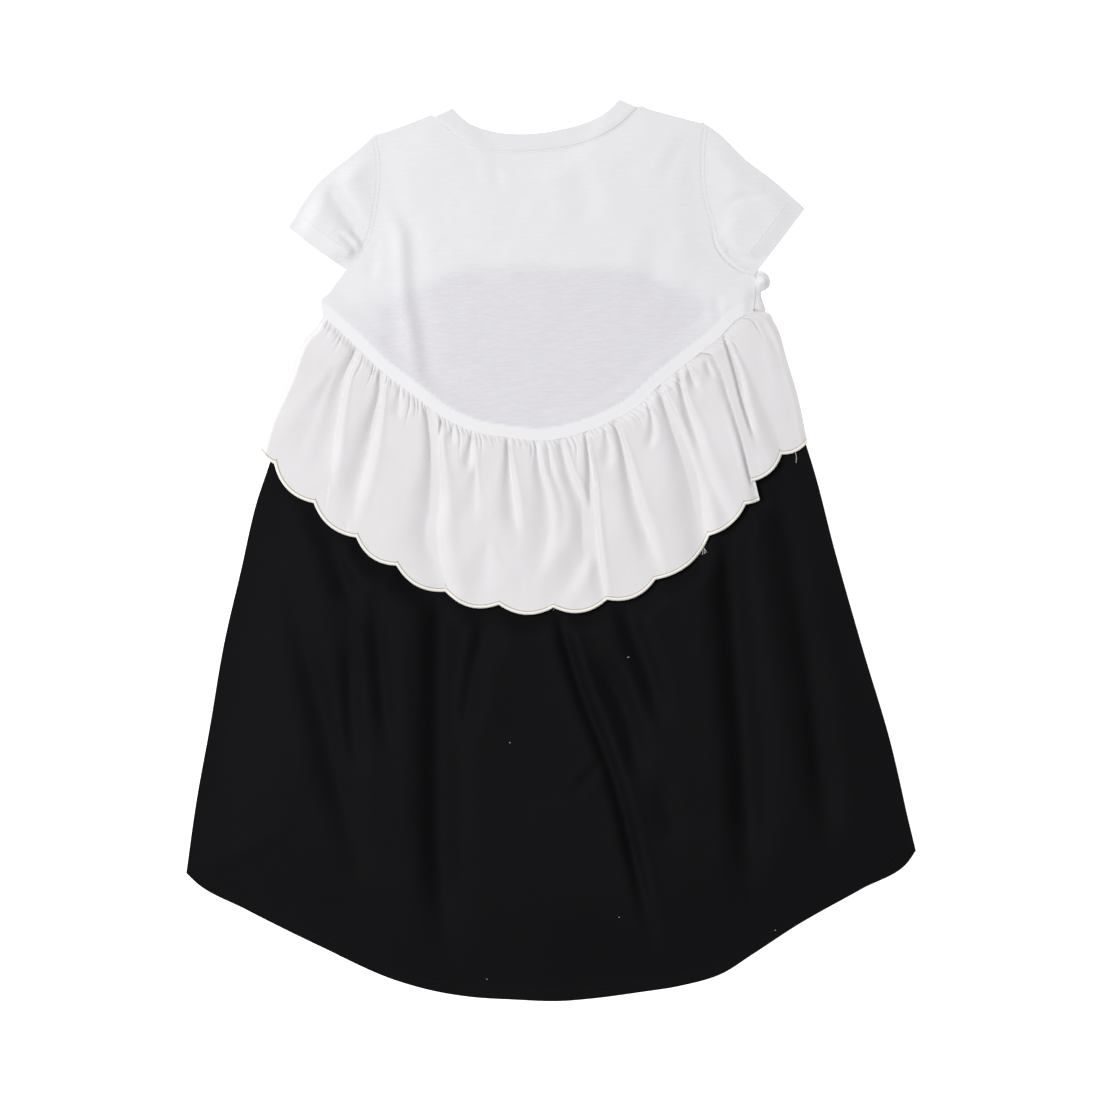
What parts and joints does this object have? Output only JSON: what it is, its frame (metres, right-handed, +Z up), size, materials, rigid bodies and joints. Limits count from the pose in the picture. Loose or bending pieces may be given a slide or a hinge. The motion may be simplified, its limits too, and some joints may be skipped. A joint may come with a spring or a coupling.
{
  "type": "ruffle dress",
  "caption": "Child's dress laid flat, back uppermost: short-sleeved jersey bodice, gathered ruffle with a scalloped edge, and flared skirt with a dipped hem.",
  "frame": {"origin": "under the middle of the dress as it lies, on the surface it rests on", "axes": "+Z up from the surface; +Y from the hem towards the neck; +X towards the right of the back as seen from above"},
  "size_m": [0.5832, 0.7213, 0.0121],
  "materials": {
    "jersey": "matt knitted cotton",
    "rib": "matt ribbed cotton",
    "poplin": "matt woven cotton",
    "black_cotton": "matt woven cotton, black"
  },
  "bodies": {
    "root": {"bodice_front": "jersey", "bodice_back": "jersey", "sleeve_left": "jersey", "sleeve_right": "jersey", "neckband": "rib", "ruffle_front": "poplin", "ruffle_back": "poplin", "skirt_front": "black_cotton", "skirt_back": "black_cotton"}
  },
  "joints": []
}
